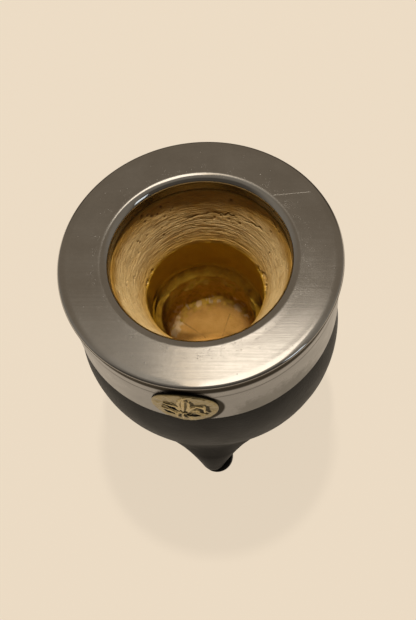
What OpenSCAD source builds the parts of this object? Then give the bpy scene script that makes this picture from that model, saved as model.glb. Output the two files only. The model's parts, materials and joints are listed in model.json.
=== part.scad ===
// Mate gourd: a thick-walled calabash cup in a black leather cover, standing on three
// splayed feet, with a spun steel collar round its mouth and a brass lily medallion.
// Millimetres. The origin is on the cup's axis, at the level that the feet stand on.
// +Z points up and the front foot points toward -Y.

/* [Ball] */
// Outside radius of the leather-covered ball
ball_r = 51.4; // [46:0.2:56]
// Free height between the ball and the table
ball_lift = 3.4; // [2:0.2:8]
// Thickness of the leather cover
leather_t = 1.8; // [1.2:0.1:2.6]
// Glue line left between the leather and what it covers
glue_gap = 0.2; // [0.1:0.05:0.4]
// Height that the leather runs up inside the collar band
leather_tuck = 8; // [4:0.5:12]

/* [Gourd] */
// Height of the collar's top face above the ball's centre
mouth_rise = 48.8; // [46:0.2:54]
// Wall of the gourd at its waist
waist_wall = 10; // [7:0.5:12]
// Depth of the waist below the collar's top face
waist_depth = 16.5; // [14:0.5:20]
// Height of the straight part of the waist
waist_flat = 2; // [1:0.5:4]
// Radius of the top of the sanded funnel
funnel_r = 31.8; // [29:0.1:32]
// Radius of the throat, where the funnel ends
throat_r = 22.3; // [18:0.1:26]
// Depth of the throat below the collar's top face
throat_depth = 27; // [24:0.5:32]
// Radius at the lower end of the bore under the throat
bore_r = 21.8; // [17:0.1:22]
// Depth of the ledge where the bore ends
ledge_depth = 44.2; // [40:0.2:47]
// Radius of the shelf's inner edge below the ledge
shelf_r = 18.9; // [15:0.1:21]
// Depth of the shelf's inner edge
shelf_depth = 49.6; // [48:0.2:54]
// Largest radius of the natural hollow
hollow_r = 23; // [21:0.5:33]
// Radius of the hollow's rounded side
hollow_round = 14; // [12:0.5:16]
// Depth of the hollow's floor below the collar's top face
floor_depth = 80; // [78:0.5:84]

/* [Collar] */
// Height of the collar from its top face to the band's lower edge
collar_h = 29; // [24:0.5:32]
// Distance that the band's lower edge stands proud of the leather
collar_proud = 2.5; // [2.2:0.1:4]
// Thickness of the band's steel
band_t = 0.8; // [0.5:0.1:1.2]
// Amount by which the band's top is narrower than its lower edge
band_lean = 0.9; // [0.4:0.1:1.4]
// Thickness of the top plate's steel
plate_t = 0.8; // [0.5:0.1:1]
// Radius of the bead round the plate's outer edge
bead_r = 1.2; // [1:0.1:1.6]
// Height of the flat seat under the bead, measured up from the round bead's lowest point
bead_flat = 0.2; // [0.1:0.05:0.3]
// Distance that the bead overhangs the band's lower edge
bead_over = 0.1; // [0:0.1:1]
// Radius of the mouth inside the steel lip
mouth_r = 32.15; // [30:0.05:34]
// Radius of the roll from the plate down into the mouth
lip_roll_r = 2.4; // [1.6:0.1:3]
// Depth of the lip's lower end below the collar's top face
lip_depth = 6.2; // [5:0.1:8]
// Leg of the solder fillet inside the collar's top corner
solder_leg = 2.4; // [1.6:0.1:3]
// Clearance between the gourd and the steel round it
collar_gap = 0.2; // [0.1:0.05:0.4]
// Thickness of the resin between the gourd's rim and the band
resin_wall = 5.8; // [4:0.2:8]
// Distance from the collar's top face down to the resin bed
resin_top = 6; // [5:0.5:9]
// Distance from the resin bed down to the band's lower edge
resin_bare = 2.5; // [1.5:0.5:5]

/* [Medallion] */
// Radius of the medallion
medal_r = 11.5; // [9:0.1:12]
// Thickness of the medallion's plain ground over the band
medal_t = 0.9; // [0.9:0.1:2]
// Height of the lily and of the medallion's rim over the ground
relief_t = 0.65; // [0.3:0.05:1]
// Width of the medallion's raised rim
medal_rim = 0.9; // [0.6:0.1:1.4]
// Bare ground between the lily and the raised rim
lily_margin = 1.2; // [0.6:0.1:3]
// Clockwise tilt of the lily on the medallion
lily_tilt = 9; // [-20:1:20]
// Solder line between the medallion and the band
medal_gap = 0.1; // [0.05:0.05:0.2]
// Bearing of the medallion from the front foot, to the left when seen from the front
medal_turn = 4.9; // [0:0.1:30]
// Height of the medallion's centre above the band's lower edge
medal_rise = 11.6; // [9.5:0.1:13]
// Radius of the two rivets behind the medallion
rivet_r = 0.9; // [0.6:0.1:1.2]
// Clearance round each rivet
rivet_gap = 0.05; // [0.02:0.01:0.1]
// Distance from the medallion's centre to each rivet
rivet_offset = 6.5; // [5:0.5:8]
// Depth that each rivet reaches into the medallion
rivet_bite = 0.5; // [0.4:0.1:0.8]
// Radius of each rivet's head inside the band
rivet_head_r = 1.8; // [1.4:0.1:2.4]
// Thickness of each rivet's head
rivet_head_t = 0.8; // [0.5:0.1:1.2]

/* [Feet] */
// Distance that each toe's centre lies inside the ball's widest circle
toe_inset = 6.8; // [3.4:0.2:11]
// Radius of the leather toe
toe_r = 5.1; // [4.4:0.1:6]
// Radius of the hollow curve between the ball and a foot
blend_r = 100; // [60:2:120]
// Depth that the hollow curve bites into the ball
blend_bite = 0.5; // [0.3:0.05:0.8]
// Radius of the rubber tip
tip_r = 6.9; // [6.5:0.1:8]
// Height of the rubber tip's rim above the table, at the tip's centre
tip_h = 6; // [5.6:0.1:7]
// Slope of the rubber tip's rim
tip_tilt = 20; // [10:1:25]
// Height of the rubber tip's centre above the table
tip_rise = 5.5; // [5:0.1:6.2]
// Sideways shift of the rubber tip from the toe
tip_slip = 1.5; // [0:0.1:2]
// Inward shift of the rubber tip from the toe
tip_inset = 1.6; // [0:0.1:2]
// Drop of the rubber tip's centre below the toe's centre
tip_drop = 1.3; // [0.6:0.1:2]
// Clearance between the rubber tip and the leather
tip_gap = 0.1; // [0.05:0.05:0.2]
// Radius of the screw that holds each foot's core
screw_r = 0.8; // [0.6:0.1:1]
// Clearance round each screw
screw_gap = 0.05; // [0.02:0.01:0.1]
// Depth that each screw reaches into the gourd's wall
screw_bite = 8; // [5:0.5:9]
// Radius of each screw's head
screw_head_r = 1.5; // [1.2:0.1:1.7]
// Thickness of each screw's head
screw_head_t = 1.2; // [0.8:0.1:1.4]
// Height of each screw head's seat above the toe's centre, toward the toe's end
screw_seat = 0.3; // [0:0.1:0.6]

/* [Back seam] */
// Radius of the waxed thread
thread_r = 0.4; // [0.3:0.05:0.6]
// Length of one stitch
stitch_l = 4.2; // [3:0.1:5]
// Slant of a stitch across the seam
stitch_slant = 24; // [0:2:40]
// Distance from one stitch to the next along the seam
stitch_step = 5.2; // [4:0.2:7]
// Distance from the ball's lowest point to the seam's last stitch
seam_end = 12; // [8:1:20]

/* [Hidden] */
$fn = 192;

// Heights
ball_z = ball_r + ball_lift;
top_z = ball_z + mouth_rise;
band_low_z = top_z - collar_h;
band_top_z = top_z - 2 * bead_r + bead_flat;
leather_top_z = band_low_z + leather_tuck;
medal_z = band_low_z + medal_rise;

// Radii of the ball's layers and of the collar
gourd_r = ball_r - leather_t - glue_gap;
function ball_radius_at(r, z) = sqrt(pow(r, 2) - pow(z - ball_z, 2));
band_r = ball_radius_at(ball_r, band_low_z) + collar_proud;
bead_mid_r = band_r + bead_over - bead_r;
function band_radius_at(z) = band_r - band_lean * (z - band_low_z) / (band_top_z - band_low_z);
rim_out_r = band_r - band_lean - band_t - resin_wall;
waist_z = top_z - waist_depth;
waist_r = funnel_r + (throat_r - funnel_r) * (waist_depth - lip_depth) / (throat_depth - lip_depth)
          + waist_wall;

// Feet: a leg's own axis runs from the ball's centre through its toe
toe_z = tip_rise + tip_drop;
toe_reach = ball_r - toe_inset;
toe_dist = sqrt(pow(toe_reach, 2) + pow(ball_z - toe_z, 2));
leg_tilt = 180 - atan2(toe_reach, ball_z - toe_z);
foot_turns = [0, 120, 240];

// Turn from one flat facet of a rubber tip's socket to the next
socket_facet = 45;

// The lily's proportions, as shares of its reach from the medallion's centre
lily_reach = medal_r - medal_rim - lily_margin;
petal_l = 1.28;
petal_w = 0.5;
petal_z = 0.36;
curl_out = 0.5;
curl_z = 0.1;
curl_r = 0.43;
curl_hole_out = 0.54;
curl_hole_z = 0;
curl_hole_r = 0.29;
curl_low_z = -0.16;
curl_end = [0.8, -0.08];
curl_end_r = 0.12;
clasp = [0.72, 0.24];
clasp_z = -0.2;
tail_l = 0.62;
tail_w = 0.26;
tail_z = -0.58;
side_tail_l = 0.55;
side_tail_w = 0.23;
side_tail_at = [0.29, -0.46];
side_tail_lean = 38;

// Cut tool long enough to pass any wall of the cup
far = 200;

// A quarter plane to the right of the axis, between two heights
module right_of_axis(z_low, z_high) {
    translate([0, z_low]) square([far, z_high - z_low]);
}

// Half outline of a disc centred on the axis at the ball's centre
module half_ball(r) {
    intersection() {
        translate([0, ball_z]) circle(r = r);
        right_of_axis(-far, far);
    }
}

// Half outline of the gourd with its neck but without its inside
module gourd_outside(grow) {
    intersection() {
        half_ball(gourd_r + grow);
        right_of_axis(0, waist_z);
    }
    polygon([
        [0, waist_z - waist_wall],
        [waist_r - waist_flat / 2, waist_z - waist_wall],
        [waist_r + grow, waist_z],
        [waist_r + grow, waist_z + waist_flat],
        [rim_out_r + grow, top_z - lip_depth],
        [rim_out_r + grow, top_z - plate_t - collar_gap],
        [0, top_z - plate_t - collar_gap]
    ]);
}

// Half outline of the mouth, funnel, bore and hollow
module gourd_inside() {
    rebate_r = mouth_r + plate_t + collar_gap;
    roll_out_r = rebate_r + lip_roll_r;
    polygon([
        [0, far],
        [roll_out_r, far],
        [roll_out_r, top_z - plate_t - collar_gap],
        [rebate_r, top_z - lip_roll_r - plate_t - collar_gap],
        [rebate_r, top_z - lip_depth - collar_gap],
        [funnel_r, top_z - lip_depth - collar_gap],
        [throat_r, top_z - throat_depth],
        [bore_r, top_z - ledge_depth],
        [shelf_r, top_z - shelf_depth],
        [shelf_r, top_z - floor_depth + hollow_round],
        [0, top_z - floor_depth + hollow_round]
    ]);
    hollow_mid = [hollow_r - hollow_round, top_z - floor_depth + hollow_round];
    translate(hollow_mid) circle(r = hollow_round);
    translate([0, top_z - floor_depth]) square([hollow_mid[0], 2 * hollow_round]);
}

// Places its children along a leg, with local +Z running out through the toe
module along_leg(turn) {
    translate([0, 0, ball_z]) rotate([0, 0, turn]) rotate([leg_tilt, 0, 0]) children();
}

// Centre of the hollow curve between ball and foot, along and aside from the leg's axis
to_centre = ball_r + blend_r - blend_bite;
to_toe = toe_r + blend_r;
blend_along = (pow(to_centre, 2) - pow(to_toe, 2) + pow(toe_dist, 2)) / (2 * toe_dist);
blend_aside = sqrt(pow(to_centre, 2) - pow(blend_along, 2));
blend_end = [blend_aside, blend_along] * ball_r / to_centre;
function leg_radius_at(dist) = blend_aside - sqrt(pow(blend_r, 2) - pow(blend_along - dist, 2));

// Half outline of a leg about its own axis, from inside the ball to the toe's middle
module leg_outline(inset) {
    difference() {
        polygon([
            [0, ball_r / 2], [0, toe_dist], [blend_aside, toe_dist], [blend_aside, blend_along], blend_end
        ]);
        translate([blend_aside, blend_along]) circle(r = blend_r + inset);
    }
}

// One leg: a round toe that flares into the ball
module leg(turn, inset) {
    along_leg(turn) {
        rotate_extrude() leg_outline(inset);
        translate([0, 0, toe_dist]) sphere(r = toe_r - inset);
    }
}

// Natural calabash: ball and flared neck with a sanded funnel, a bore and a rough hollow
module gourd() {
    color([0.72, 0.56, 0.34])
    difference() {
        rotate_extrude() difference() {
            gourd_outside(0);
            gourd_inside();
        }
        for (turn = foot_turns)
            along_leg(turn)
                translate([0, 0, gourd_r - screw_bite - screw_gap])
                    cylinder(r = screw_r + screw_gap, h = far);
    }
}

// Wet-moulded black leather skin with a sleeve over each foot
module leather_cover() {
    color([0.16, 0.15, 0.14])
    difference() {
        union() {
            translate([0, 0, ball_z]) sphere(r = ball_r);
            for (turn = foot_turns) leg(turn, 0);
        }
        translate([0, 0, ball_z]) sphere(r = gourd_r + glue_gap);
        for (turn = foot_turns) leg(turn, leather_t);
        translate([-far / 2, -far / 2, leather_top_z]) cube(far);
    }
}

// Row of slanted stitches down the back seam
module seam_thread() {
    stitch_r = ball_r + thread_r;
    first = acos((band_low_z - ball_z) / ball_r) + stitch_step / ball_r * 180 / PI;
    last = 180 - seam_end / ball_r * 180 / PI;
    count = floor((last - first) * PI / 180 * ball_r / stitch_step);
    color([0.10, 0.09, 0.08])
    for (i = [0 : count])
        translate([0, 0, ball_z])
            rotate([0, 0, 180]) rotate([first + i * stitch_step / ball_r * 180 / PI, 0, 0])
                translate([0, 0, stitch_r]) rotate([0, 0, stitch_slant]) rotate([0, 90, 0])
                    cylinder(r = thread_r, h = stitch_l, center = true, $fn = 16);
}

// Spun steel top: flat ring, rolled bead outside, rolled lip down into the mouth
module rim_plate() {
    lip_mid = [mouth_r + lip_roll_r, top_z - lip_roll_r];
    color([0.62, 0.60, 0.57])
    rotate_extrude() {
        translate([lip_mid[0], top_z - plate_t]) square([bead_mid_r - lip_mid[0], plate_t]);
        difference() {
            translate([bead_mid_r, top_z - bead_r]) circle(r = bead_r);
            translate([0, band_top_z - far]) square(far);
        }
        difference() {
            translate(lip_mid) circle(r = lip_roll_r);
            translate(lip_mid) circle(r = lip_roll_r - plate_t);
            translate([lip_mid[0], 0]) square(far);
            translate([0, lip_mid[1] - far]) square(far);
        }
        translate([mouth_r, top_z - lip_depth]) square([plate_t, lip_depth - lip_roll_r]);
    }
}

// Half outline of the band's wall, between two offsets from its outside face
module band_wall(out, in) {
    polygon([
        [band_radius_at(band_top_z) - in, band_top_z],
        [band_radius_at(band_top_z) + out, band_top_z],
        [band_r + out, band_low_z],
        [band_r - in, band_low_z]
    ]);
}

// Steel band round the gourd's neck
module collar_band() {
    color([0.66, 0.64, 0.60])
    difference() {
        rotate_extrude() band_wall(0, band_t);
        rivet_holes();
    }
}

// Solder fillet that joins the band to the plate inside the collar
module collar_solder() {
    in_r = band_radius_at(band_top_z) - band_t;
    plate_low = top_z - plate_t;
    color([0.74, 0.74, 0.72])
    rotate_extrude() difference() {
        polygon([
            [in_r, plate_low],
            [in_r - solder_leg, plate_low],
            [in_r, plate_low - solder_leg]
        ]);
        translate([bead_mid_r, top_z - bead_r]) circle(r = bead_r);
        band_wall(band_t, band_t);
    }
}

// Cast resin that beds the collar on the gourd's neck and over the leather's edge
module resin_bed() {
    low_z = band_low_z + resin_bare;
    color([0.30, 0.27, 0.22])
    difference() {
        rotate_extrude() difference() {
            polygon([
                [0, low_z],
                [band_radius_at(low_z) - band_t - collar_gap, low_z],
                [band_radius_at(top_z - resin_top) - band_t - collar_gap, top_z - resin_top],
                [0, top_z - resin_top]
            ]);
            gourd_outside(collar_gap);
            intersection() {
                half_ball(ball_r + glue_gap);
                right_of_axis(0, leather_top_z + glue_gap);
            }
        }
        rivets_at() translate([0, 0, -rivet_head_t - rivet_gap])
            cylinder(r = rivet_head_r + collar_gap, h = rivet_head_t + band_t);
    }
}

// Places its children on the band at the medallion, with local +Z pointing out of the band
module on_band(across) {
    translate([0, 0, medal_z]) rotate([0, 0, -medal_turn + across]) rotate([90, 0, 0]) children();
}

// Places its children at each rivet, with the origin on the band's inside face
module rivets_at() {
    band_in = band_radius_at(medal_z) - band_t - rivet_gap;
    swing = asin(rivet_offset / band_r);
    for (side = [-1, 1])
        on_band(side * swing) translate([0, 0, band_in]) children();
}

// Holes for the rivets through the band and into the medallion's back
module rivet_holes() {
    through = band_t + medal_gap + rivet_bite + 2 * rivet_gap;
    rivets_at() translate([0, 0, -rivet_head_t])
        cylinder(r = rivet_r + rivet_gap, h = rivet_head_t + through);
}

// One outline of a pointed petal
module petal(long, wide) {
    arc_r = (pow(long / 2, 2) + pow(wide / 2, 2)) / wide;
    intersection() {
        translate([arc_r - wide / 2, 0]) circle(r = arc_r);
        translate([wide / 2 - arc_r, 0]) circle(r = arc_r);
    }
}

// One side petal of the lily, curling outward and down to a round end
module side_petal() {
    difference() {
        translate(lily_reach * [curl_out, curl_z]) circle(r = lily_reach * curl_r);
        translate(lily_reach * [curl_hole_out, curl_hole_z]) circle(r = lily_reach * curl_hole_r);
        translate([lily_reach * curl_out, lily_reach * curl_end[1] - far]) square(far);
        translate([0, lily_reach * curl_low_z - far]) square(far);
    }
    translate(lily_reach * curl_end) circle(r = lily_reach * curl_end_r);
}

// Plain traditional lily: tall middle petal, two curled side petals, clasp and three tails
module lily() {
    rotate(-lily_tilt) {
        translate([0, lily_reach * petal_z]) petal(lily_reach * petal_l, lily_reach * petal_w);
        translate([0, lily_reach * clasp_z]) square(lily_reach * clasp, center = true);
        translate([0, lily_reach * tail_z]) petal(lily_reach * tail_l, lily_reach * tail_w);
        for (side = [0, 1]) mirror([side, 0]) {
            side_petal();
            translate(lily_reach * side_tail_at) rotate(side_tail_lean)
                petal(lily_reach * side_tail_l, lily_reach * side_tail_w);
        }
    }
}

// Everything inside the band's outside face at the medallion, grown by the solder line
module band_core() {
    low_z = medal_z - medal_r - medal_rim;
    high_z = medal_z + medal_r + medal_rim;
    rotate_extrude() polygon([
        [0, low_z],
        [band_radius_at(low_z) + medal_gap, low_z],
        [band_radius_at(high_z) + medal_gap, high_z],
        [0, high_z]
    ]);
}

// Raises a flat outline out of the cup, up to a height over the band's lower edge
module raised(height) {
    intersection() {
        on_band(0) translate([0, 0, band_r / 2]) linear_extrude(height = band_r) children();
        cylinder(r = band_r + height, h = far);
    }
}

// Cast brass medallion, curved to the band, with its raised rim and lily
module medallion() {
    color([0.72, 0.60, 0.34])
    difference() {
        union() {
            raised(medal_t) circle(r = medal_r);
            raised(medal_t + relief_t) difference() {
                circle(r = medal_r);
                circle(r = medal_r - medal_rim);
            }
            raised(medal_t + relief_t) lily();
        }
        band_core();
        rivet_holes();
    }
}

// Two brass rivets that hold the medallion from inside the band
module medallion_rivets() {
    color([0.70, 0.58, 0.32])
    rivets_at() {
        translate([0, 0, -rivet_head_t]) cylinder(r = rivet_head_r, h = rivet_head_t);
        cylinder(r = rivet_r, h = band_t + medal_gap + rivet_bite + rivet_gap);
    }
}

// Turned wooden core of one foot, seated on the gourd and drilled for its screw
module leg_core(turn) {
    color([0.60, 0.44, 0.26])
    difference() {
        leg(turn, leather_t + glue_gap);
        translate([0, 0, ball_z]) sphere(r = gourd_r);
        along_leg(turn) {
            cylinder(r = screw_r + screw_gap, h = far);
            translate([0, 0, toe_dist + screw_seat])
                cylinder(r = screw_head_r + screw_gap, h = far);
        }
    }
}

module leg_core_front() { leg_core(foot_turns[0]); }

module leg_core_right() { leg_core(foot_turns[1]); }

module leg_core_left() { leg_core(foot_turns[2]); }

// Three screws through the cores into the gourd's wall
module leg_screws() {
    shank_low = gourd_r - screw_bite;
    color([0.50, 0.50, 0.48])
    for (turn = foot_turns)
        along_leg(turn) {
            translate([0, 0, shank_low])
                cylinder(r = screw_r, h = toe_dist + screw_seat - shank_low + screw_head_t / 2);
            translate([0, 0, toe_dist + screw_seat + screw_gap])
                cylinder(r = screw_head_r, h = screw_head_t);
        }
}

// Half outline of the socket in a rubber tip: flat facets that touch the toe all round
module tip_socket() {
    reach = toe_r + tip_gap;
    facet = reach * tan(socket_facet / 2);
    mouth = leg_radius_at(toe_dist) + tip_gap;
    polygon([
        [0, toe_dist - tip_r],
        [leg_radius_at(toe_dist - tip_r) + tip_gap, toe_dist - tip_r],
        [mouth, toe_dist],
        [mouth, toe_dist + facet],
        [facet, toe_dist + reach],
        [0, toe_dist + reach]
    ]);
}

// Black rubber tip that one leather toe sits in, cut flat at the table and at its sloping rim
module foot_tip(turn) {
    shift = atan2(tip_inset, tip_slip);
    color([0.05, 0.05, 0.05])
    difference() {
        rotate([0, 0, turn]) translate([tip_slip, tip_inset - toe_reach, 0]) difference() {
            translate([0, 0, tip_rise]) sphere(r = tip_r);
            translate([-far / 2, -far / 2, -far]) cube(far);
            translate([0, 0, tip_h]) rotate([0, -tip_tilt, shift])
                translate([-far / 2, -far / 2, 0]) cube(far);
        }
        along_leg(turn) rotate_extrude() tip_socket();
    }
}

module foot_tip_front() { foot_tip(foot_turns[0]); }

module foot_tip_right() { foot_tip(foot_turns[1]); }

module foot_tip_left() { foot_tip(foot_turns[2]); }

gourd();
leather_cover();
seam_thread();
rim_plate();
collar_band();
collar_solder();
resin_bed();
medallion();
medallion_rivets();
leg_core_front();
leg_core_right();
leg_core_left();
leg_screws();
foot_tip_front();
foot_tip_right();
foot_tip_left();
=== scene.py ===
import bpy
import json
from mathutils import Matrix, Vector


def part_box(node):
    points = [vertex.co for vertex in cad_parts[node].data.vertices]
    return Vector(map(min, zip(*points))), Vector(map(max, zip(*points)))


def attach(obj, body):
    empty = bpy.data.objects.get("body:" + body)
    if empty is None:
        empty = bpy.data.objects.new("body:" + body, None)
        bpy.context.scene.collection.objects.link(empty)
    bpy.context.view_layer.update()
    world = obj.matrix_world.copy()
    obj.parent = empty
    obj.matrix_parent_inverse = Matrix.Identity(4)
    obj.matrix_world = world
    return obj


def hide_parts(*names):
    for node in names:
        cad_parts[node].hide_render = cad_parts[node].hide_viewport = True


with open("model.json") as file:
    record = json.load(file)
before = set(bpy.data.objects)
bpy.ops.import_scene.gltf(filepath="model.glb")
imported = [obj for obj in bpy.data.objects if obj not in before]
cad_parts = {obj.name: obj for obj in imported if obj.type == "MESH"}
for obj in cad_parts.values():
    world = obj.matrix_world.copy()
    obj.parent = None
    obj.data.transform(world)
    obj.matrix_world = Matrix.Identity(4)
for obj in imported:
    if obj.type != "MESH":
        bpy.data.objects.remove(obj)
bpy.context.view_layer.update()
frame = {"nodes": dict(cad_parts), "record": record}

import json
import math

import bmesh
import bpy
import numpy as np
from mathutils import Matrix

# Calabash: one dried gourd with its neck sawn off. Its mouth is turned to a funnel, which
# tears the soft fibre into rings, and its throat is bored. Below a broken ledge it is as grown.
mm = 0.001
top_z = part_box("rim_plate")[1].z
gourd_low, gourd_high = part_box("gourd")
gourd_r = (gourd_high.x - gourd_low.x) / 2
ball_z = gourd_low.z + gourd_r
lip_depth = 6.45
throat_depth = 27
ledge_depth = 43.6
shelf_depth = 49.9
hollow_mid = (9, 66)
hollow_round = 14
ledge_tilt = 0.11
gourd_steps = 540

# Inside outline as (radius, depth below the collar's top face) in millimetres
funnel = [(33.2, lip_depth), (31.95, lip_depth), (31.7, 6.8), (27.2, 16.8), (23.5, 25.2),
          (22.7, 26.6), (22.25, 28)]
bore = [(21.9, 36), (21.8, ledge_depth)]
ledge = [(21.6, 44), (21.15, 44.3), (21, 44.8), (21.4, 45.3), (22.3, 45.6), (22.5, 46)]
shelf = [(21.9, 46.7), (20.3, 48.1), (19.1, 49.3), (18.8, shelf_depth), (18.9, 51.2)]
hollow = [(hollow_mid[0] + hollow_round * math.cos(turn), hollow_mid[1] + hollow_round * math.sin(turn))
          for turn in np.radians(range(-44, 91, 4))]
hollow.append((0.05, hollow_mid[1] + hollow_round))


def drawn_out(points, step):
    """The outline's points, spaced evenly along it at about this step"""
    points = np.array(points, float)
    along = np.concatenate([[0], np.cumsum(np.linalg.norm(np.diff(points, axis=0), axis=1))])
    even = np.linspace(0, along[-1], int(along[-1] / step) + 1)
    return np.stack([np.interp(even, along, points[:, i]) for i in (0, 1)], 1)


def grain(points, size, seed):
    """Smooth noise from -1 to 1 at the points, with features of about this size"""
    cells = 32
    lattice = np.random.default_rng(seed).uniform(-1, 1, (cells, cells, cells))
    at = points / size
    low = np.floor(at).astype(int)
    part = at - low
    part = part * part * (3 - 2 * part)
    total = np.zeros(points.shape[:-1])
    for corner in np.ndindex(2, 2, 2):
        weight = np.prod(np.where(corner, part, 1 - part), axis=-1)
        cell = (low + corner) % cells
        total += weight * lattice[cell[..., 0], cell[..., 1], cell[..., 2]]
    return total


def rising(values, low, high):
    """0 below low, 1 above high, and a smooth rise between"""
    share = np.clip((values - low) / (high - low), 0, 1)
    return share * share * (3 - 2 * share)


def to_line(points, line):
    """Distance from each point to a line of joined points"""
    nearest = np.full(points.shape[:-1], np.inf)
    for start, end in zip(line[:-1], line[1:]):
        span = end - start
        share = np.clip(((points - start) @ span) / (span @ span), 0, 1)
        nearest = np.minimum(nearest, np.linalg.norm(points - start - share[..., None] * span, axis=-1))
    return nearest


def mesh_piece(name, points, faces, marks=None):
    """A smooth mesh object from points in metres, with its marks kept for its finish"""
    mesh = bpy.data.meshes.new(name)
    mesh.from_pydata(points.reshape(-1, 3).tolist(), [], faces)
    for mark, values in (marks or {}).items():
        mesh.attributes.new(mark, "FLOAT", "POINT").data.foreach_set(
            "value", values.ravel().astype(np.float32))
    mesh.shade_smooth()
    piece = bpy.data.objects.new(name, mesh)
    bpy.context.scene.collection.objects.link(piece)
    return piece


def ring_faces(rows, steps, closed):
    """Faces between rows of points that run round an axis; a closed set joins its ends"""
    faces = []
    for row in range(rows if closed else rows - 1):
        here = row * steps
        there = (row + 1) % rows * steps
        for step in range(steps):
            after = (step + 1) % steps
            faces.append((here + step, there + step, there + after, here + after))
    if not closed:
        faces.append(tuple(range(steps)))
        faces.append(tuple(range(rows * steps - 1, (rows - 1) * steps - 1, -1)))
    return faces


def turned(outline, steps):
    """Bearings, radii and depths of an outline carried round the cup's axis"""
    bearing = np.linspace(0, 2 * math.pi, steps, endpoint=False)[None, :]
    radius = np.repeat(outline[:, :1], steps, axis=1)
    depth = np.repeat(outline[:, 1:], steps, axis=1)
    return bearing + 0 * radius, radius, depth


def placed(bearing, radius, depth):
    """Points from bearings, and radii and depths in millimetres"""
    return np.stack([radius * np.cos(bearing), radius * np.sin(bearing), -depth], -1)


inside = np.concatenate([drawn_out(funnel, 0.17), drawn_out([funnel[-1]] + bore, 0.6)[1:],
                         drawn_out([bore[-1]] + ledge + shelf, 0.22)[1:],
                         drawn_out([shelf[-1]] + hollow, 0.62)[1:]])
neck_r = 42.4
waist = [(37.1, 16.5), (37.1, 14.5), (neck_r, lip_depth), (neck_r, 1.1), (36, 1.1), (33.2, 3.6)]
ball_depth = (top_z - ball_z) / mm
outside_turns = np.radians(np.linspace(-89.8, 41, 50))
outside = [(gourd_r / mm * math.cos(turn), ball_depth - gourd_r / mm * math.sin(turn))
           for turn in outside_turns]
outline = np.concatenate([outside, drawn_out(waist, 1.2), inside])
bearing, radius, depth = turned(outline, gourd_steps)
skin = placed(bearing, radius, depth)
row_is_inside = (np.arange(len(outline)) >= len(outline) - len(inside))[:, None]

# Torn rings of the funnel: fine fibre all over, and grooves that deepen toward the throat
around = np.stack([np.cos(bearing), np.sin(bearing), depth], -1)
in_funnel = row_is_inside * rising(depth, 6.6, 7.6) * rising(-depth, -throat_depth - 1.5, -throat_depth)
low_funnel = in_funnel * rising(depth, 10, 19)
wander = 0.45 * grain(around * [1.6, 1.6, 0.1], 1, 3)
fibre = grain(around * [5, 5, 2.6], 1, 5) + 0.6 * grain(around * [11, 11, 5.2], 1, 7)
groove_depths = [11.8, 13.1, 14.2, 15.4, 16.2, 17.3, 18.1, 18.9, 19.8, 20.5, 21.2, 21.9, 22.6, 23.2,
                 23.9, 24.5, 25.2, 26]
groove_half = 0.15
groove = np.zeros_like(depth)
ringed_side = 0.3 + 0.7 * rising(np.cos(bearing - math.radians(70)), -0.5, 0.5)
for number, groove_depth in enumerate(groove_depths):
    strength = np.clip(0.35 + 0.9 * grain(around * [2.6, 2.6, 0], 1, 20 + number), 0, 1) * ringed_side
    groove = np.maximum(groove, strength * np.exp(-((depth + wander - groove_depth) / groove_half) ** 2))
lumps = grain(skin, 3.2, 11) + 0.5 * grain(skin, 1.3, 12)
outward = in_funnel * (0.06 * fibre + 0.09 * lumps) + 0.17 * low_funnel * groove
torn_and_ledge_shade = 0.5 * low_funnel * groove + 0.2 * in_funnel * rising(fibre, 0.3, 1)


def on_funnel(bearing_deg, at_depth):
    """A point on the funnel's wall"""
    at_radius = np.interp(at_depth, *np.array(funnel[2:]).T[::-1])
    return placed(math.radians(bearing_deg), at_radius, at_depth)


# Cracks as (bearing, depth) points, worm pits and chips of the throat's edge as (bearing, depth, size)
cracks = [[(104, 17), (98, 16.3), (92, 16), (87, 15.4), (82.6, 15.1), (80, 15.5), (77.5, 15),
           (74.3, 15.8), (72.4, 14.6), (69, 15.1), (66, 14.5)],
          [(56, 15), (53.3, 14.6), (49.8, 14.2), (47, 14.3), (43.8, 13.6), (40, 13.9)],
          [(36, 7.2), (34.2, 7.4), (31.4, 8.3), (30, 8.1)]]
jag = 0.3 * grain(skin, 0.9, 31)
for crack in cracks:
    reach = to_line(skin, [on_funnel(*point) for point in crack]) + jag
    outward += 0.5 * in_funnel * np.exp(-(reach / 0.22) ** 2)
    torn_and_ledge_shade = np.maximum(torn_and_ledge_shade, 0.8 * in_funnel * np.exp(-(reach / 0.24) ** 2))
pits = [(137, 7.8, 0.6), (130.3, 10.3, 0.7), (121.6, 8.8, 0.5), (136.6, 10.6, 0.5), (71, 9.4, 0.8),
        (26.8, 8.3, 0.5), (133, 9, 0.4), (126, 10.9, 0.4), (150, 14, 0.35)]
scatter = np.random.default_rng(41)
pits += [(scatter.uniform(0, 360), scatter.uniform(8, 20), scatter.uniform(0.18, 0.42)) for _ in range(60)]
for pit_bearing, pit_depth, pit_r in pits:
    reach = np.linalg.norm(skin - on_funnel(pit_bearing, pit_depth), axis=-1) + 0.5 * jag
    dent = in_funnel * np.exp(-(reach / pit_r) ** 2)
    outward += 0.45 * dent
    torn_and_ledge_shade = np.maximum(torn_and_ledge_shade, 0.85 * dent)
chips = [(25.5, 24.4, 0.9), (26.4, 27.4, 0.9), (19, 26.6, 1.1), (14.1, 25.6, 1.2), (6.9, 25, 1.3),
         (3.3, 26.6, 1.2), (-4, 26.9, 1), (157, 27, 0.7), (169, 27.3, 0.8), (174, 26.9, 0.5)]
pale = np.zeros_like(depth)
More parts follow.
